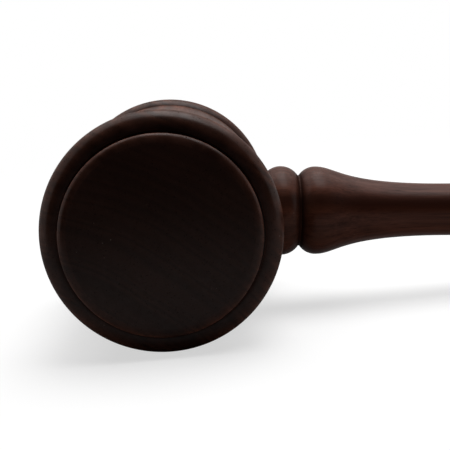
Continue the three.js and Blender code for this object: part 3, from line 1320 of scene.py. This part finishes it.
@dataclass(frozen=True)
class Studio:
    """A pale floor, a white surround, softboxes and the camera."""

    softboxes: tuple[Softbox, ...]  # the lamps
    flags: tuple[Flag, ...]  # black cards
    ambient: float = 0.04  # strength of the surround for light that falls on the object
    floor_half: float = 3.0  # half the floor's side in metres
    floor_cells: int = 8  # along each of its sides
    floor_drop: float = 0.00006  # how far the floor lies below the lowest point, in metres
    floor_tone: float = 0.4  # the floor's own grey
    floor_bounce: float = 0.46  # the grey that it lights the object with
    floor_glow: float = 0.62  # what brings the lit floor up to white for the camera
    # The same in the gavel's varnish, where the floor stays paler than white
    mirrored_glow: float = 0.17
    # Distances from the head's middle over which that mirrored glow comes up, a painted shadow
    shade: tuple[float, float] = (0.06, 0.2)
    # Distances from the gavel over which the floor turns into the white surround
    fade: tuple[float, float] = (0.22, 0.6)
    # In millimetres from the middle of the head, in the gavel's frame
    camera_place: tuple[float, float, float] = (10.22, -292.29, 40.02)
    # Rotation vector in degrees, from a camera that looks along Y
    camera_turn: tuple[float, float, float] = (-8.566, 0.34, -1.204)
    camera_lens: float = 84.0  # focal length in millimetres
    camera_sensor: float = 36.0  # width of the sensor in millimetres
    # Nearest and furthest distance that the camera sees, in metres
    camera_clip: tuple[float, float] = (0.01, 20.0)

    @staticmethod
    def _seen(sheet: NodeSheet) -> Socket:
        """Tells rays that see the background colour from the others.

        Args:
            sheet: the node sheet of the floor or the world.

        Returns:
            One for a ray that does, else zero.
        """
        path = sheet.node("ShaderNodeLightPath")
        camera, glossy, transmission = (path.outputs[kind.value] for kind in LightRays)
        return sheet.math("MAXIMUM", sheet.math("MAXIMUM", camera, glossy), transmission)

    def surround(self) -> None:
        """Makes the world: white where it is seen, weaker where it lights the object."""
        world = bpy.data.worlds.new("surround")
        world.use_nodes = True
        bpy.context.scene.world = world
        sheet = NodeSheet(world.node_tree)
        back = world.node_tree.nodes["Background"]
        back.inputs["Color"].default_value = (1.0, 1.0, 1.0, 1.0)
        sheet.feed(back.inputs["Strength"], sheet.span(self._seen(sheet), self.ambient, 1.0))

    def floor(self, middle: Vector) -> bpy.types.Object:
        """Lays the floor: a square sheet, even in both directions, unseen from below.

        Args:
            middle: the middle of the head.

        Returns:
            The floor.
        """
        half = self.floor_half
        corner, side, rise = (-half, -half, -self.floor_drop), (2 * half, 0, 0), (0, 2 * half, 0)
        made = flat_sheet("floor", corner, side, rise, self.floor_cells)
        made.data.materials.append(self._floor_material(middle))
        return made

    def _floor_material(self, middle: Vector) -> bpy.types.Material:
        """Makes a pale floor that keeps a shadow near the gavel and is plain white far from it.

        Args:
            middle: the middle of the head.

        Returns:
            The material.
        """
        made = new_material("floor")
        made.node_tree.nodes.clear()
        sheet = NodeSheet(made.node_tree)
        place = sheet.node("ShaderNodeTexCoord").outputs["Object"]
        far = sheet.ramp(sheet.distance(place, LEVEL), *self.fade)
        seen = self._seen(sheet)
        own = sheet.span(seen, self.floor_bounce, self.floor_tone)
        tone = sheet.math("MULTIPLY", sheet.span(far, 1.0, 0.0), own)
        matt = sheet.node("ShaderNodeBsdfDiffuse", {"Color": sheet.grey(tone)})

        direct = sheet.node("ShaderNodeLightPath").outputs[LightRays.CAMERA.value]
        # In the varnish's reflections the floor's glow fades out near the head: a painted contact
        # shadow
        beside = sheet.vector("SUBTRACT", place, (middle.x, middle.y, 0.0))
        out_of_painted_shadow = sheet.ramp(sheet.distance(beside, LEVEL), *self.shade)
        mirrored = sheet.math("MULTIPLY", out_of_painted_shadow, self.mirrored_glow)
        lift = sheet.span(direct, mirrored, self.floor_glow)
        strength = sheet.math("MULTIPLY", seen, sheet.span(far, lift, 1.0))
        glow = sheet.node("ShaderNodeEmission", {"Strength": strength})

        both = sheet.node("ShaderNodeAddShader", {0: matt.outputs[0], 1: glow.outputs[0]})
        below = sheet.node("ShaderNodeNewGeometry").outputs["Backfacing"]
        clear = sheet.node("ShaderNodeBsdfTransparent").outputs[0]
        pick = sheet.node("ShaderNodeMixShader", {0: below, 1: both.outputs[0], 2: clear})
        sheet.node("ShaderNodeOutputMaterial", {"Surface": pick.outputs[0]})
        return made

    def camera(self, placing: Matrix) -> None:
        """Sets the camera where the gavel's frame says, with no shift and no blur.

        Args:
            placing: the gavel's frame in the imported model's, in metres.
        """
        data = bpy.data.cameras.new("camera")
        data.sensor_width = self.camera_sensor
        data.lens = self.camera_lens
        data.clip_start, data.clip_end = self.camera_clip
        vector = Vector([radians(part) for part in self.camera_turn])
        turn = Matrix.Rotation(vector.length, 3, vector.normalized())
        level = Matrix(((1, 0, 0), (0, 0, -1), (0, 1, 0)))
        facing = placing.to_3x3() @ turn @ level
        spot = placing @ (Vector(self.camera_place) * MILLIMETRE)
        made = in_scene("camera", data)
        made.matrix_world = Matrix.Translation(spot) @ facing.to_4x4()
        bpy.context.scene.camera = made

    def build(self, placing: Matrix) -> bpy.types.Object:
        """Sets up the whole studio round the gavel.

        Args:
            placing: the gavel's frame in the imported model's, in metres.

        Returns:
            The floor.
        """
        middle = placing.translation
        self.surround()
        for softbox in self.softboxes:
            softbox.hang(middle)
        for flag in self.flags:
            flag.stand(middle)
        self.camera(placing)
        bpy.context.scene.view_settings.view_transform = "Standard"
        return self.floor(middle)


STUDIO = Studio(
    softboxes=(
        Softbox(
            "outer_softbox",
            place=(0.15, 0.42, 1.2),
            aim=(0.15, 0.1, 0.0),
            size=(2.0, 1.35),
            power=15.2,
        ),
        Softbox(
            "overhead_softbox",
            place=(0.2, 0.1, 1.15),
            aim=(0.0, 0.05, 0.0),
            size=(1.2, 0.6),
            power=8.4,
        ),
    ),
    flags=(Flag("front_flag", place=(0.05, -0.19, 0.0), width=0.7, height=0.62),),
)


# The whole


def main() -> None:
    """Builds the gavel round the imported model, then the studio."""
    logging.basicConfig(level=logging.INFO, format="%(name)s: %(message)s")
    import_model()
    low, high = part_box("head")
    placing = Matrix.Translation((low + high) / 2) @ Matrix.Rotation(SLOPE, 4, "Y")

    joint = Joint()
    head = Head(joint)
    handle = Handle(joint, head.barrel_radius)
    for piece in (head.build(placing, HEAD_WOOD), handle.build(placing, HANDLE_WOOD)):
        LOG.info("%s: %d faces", piece.name, len(piece.data.polygons))
    floor = STUDIO.build(placing)
    LOG.info("%s laid", floor.name)


if __name__ == "__main__":
    main()
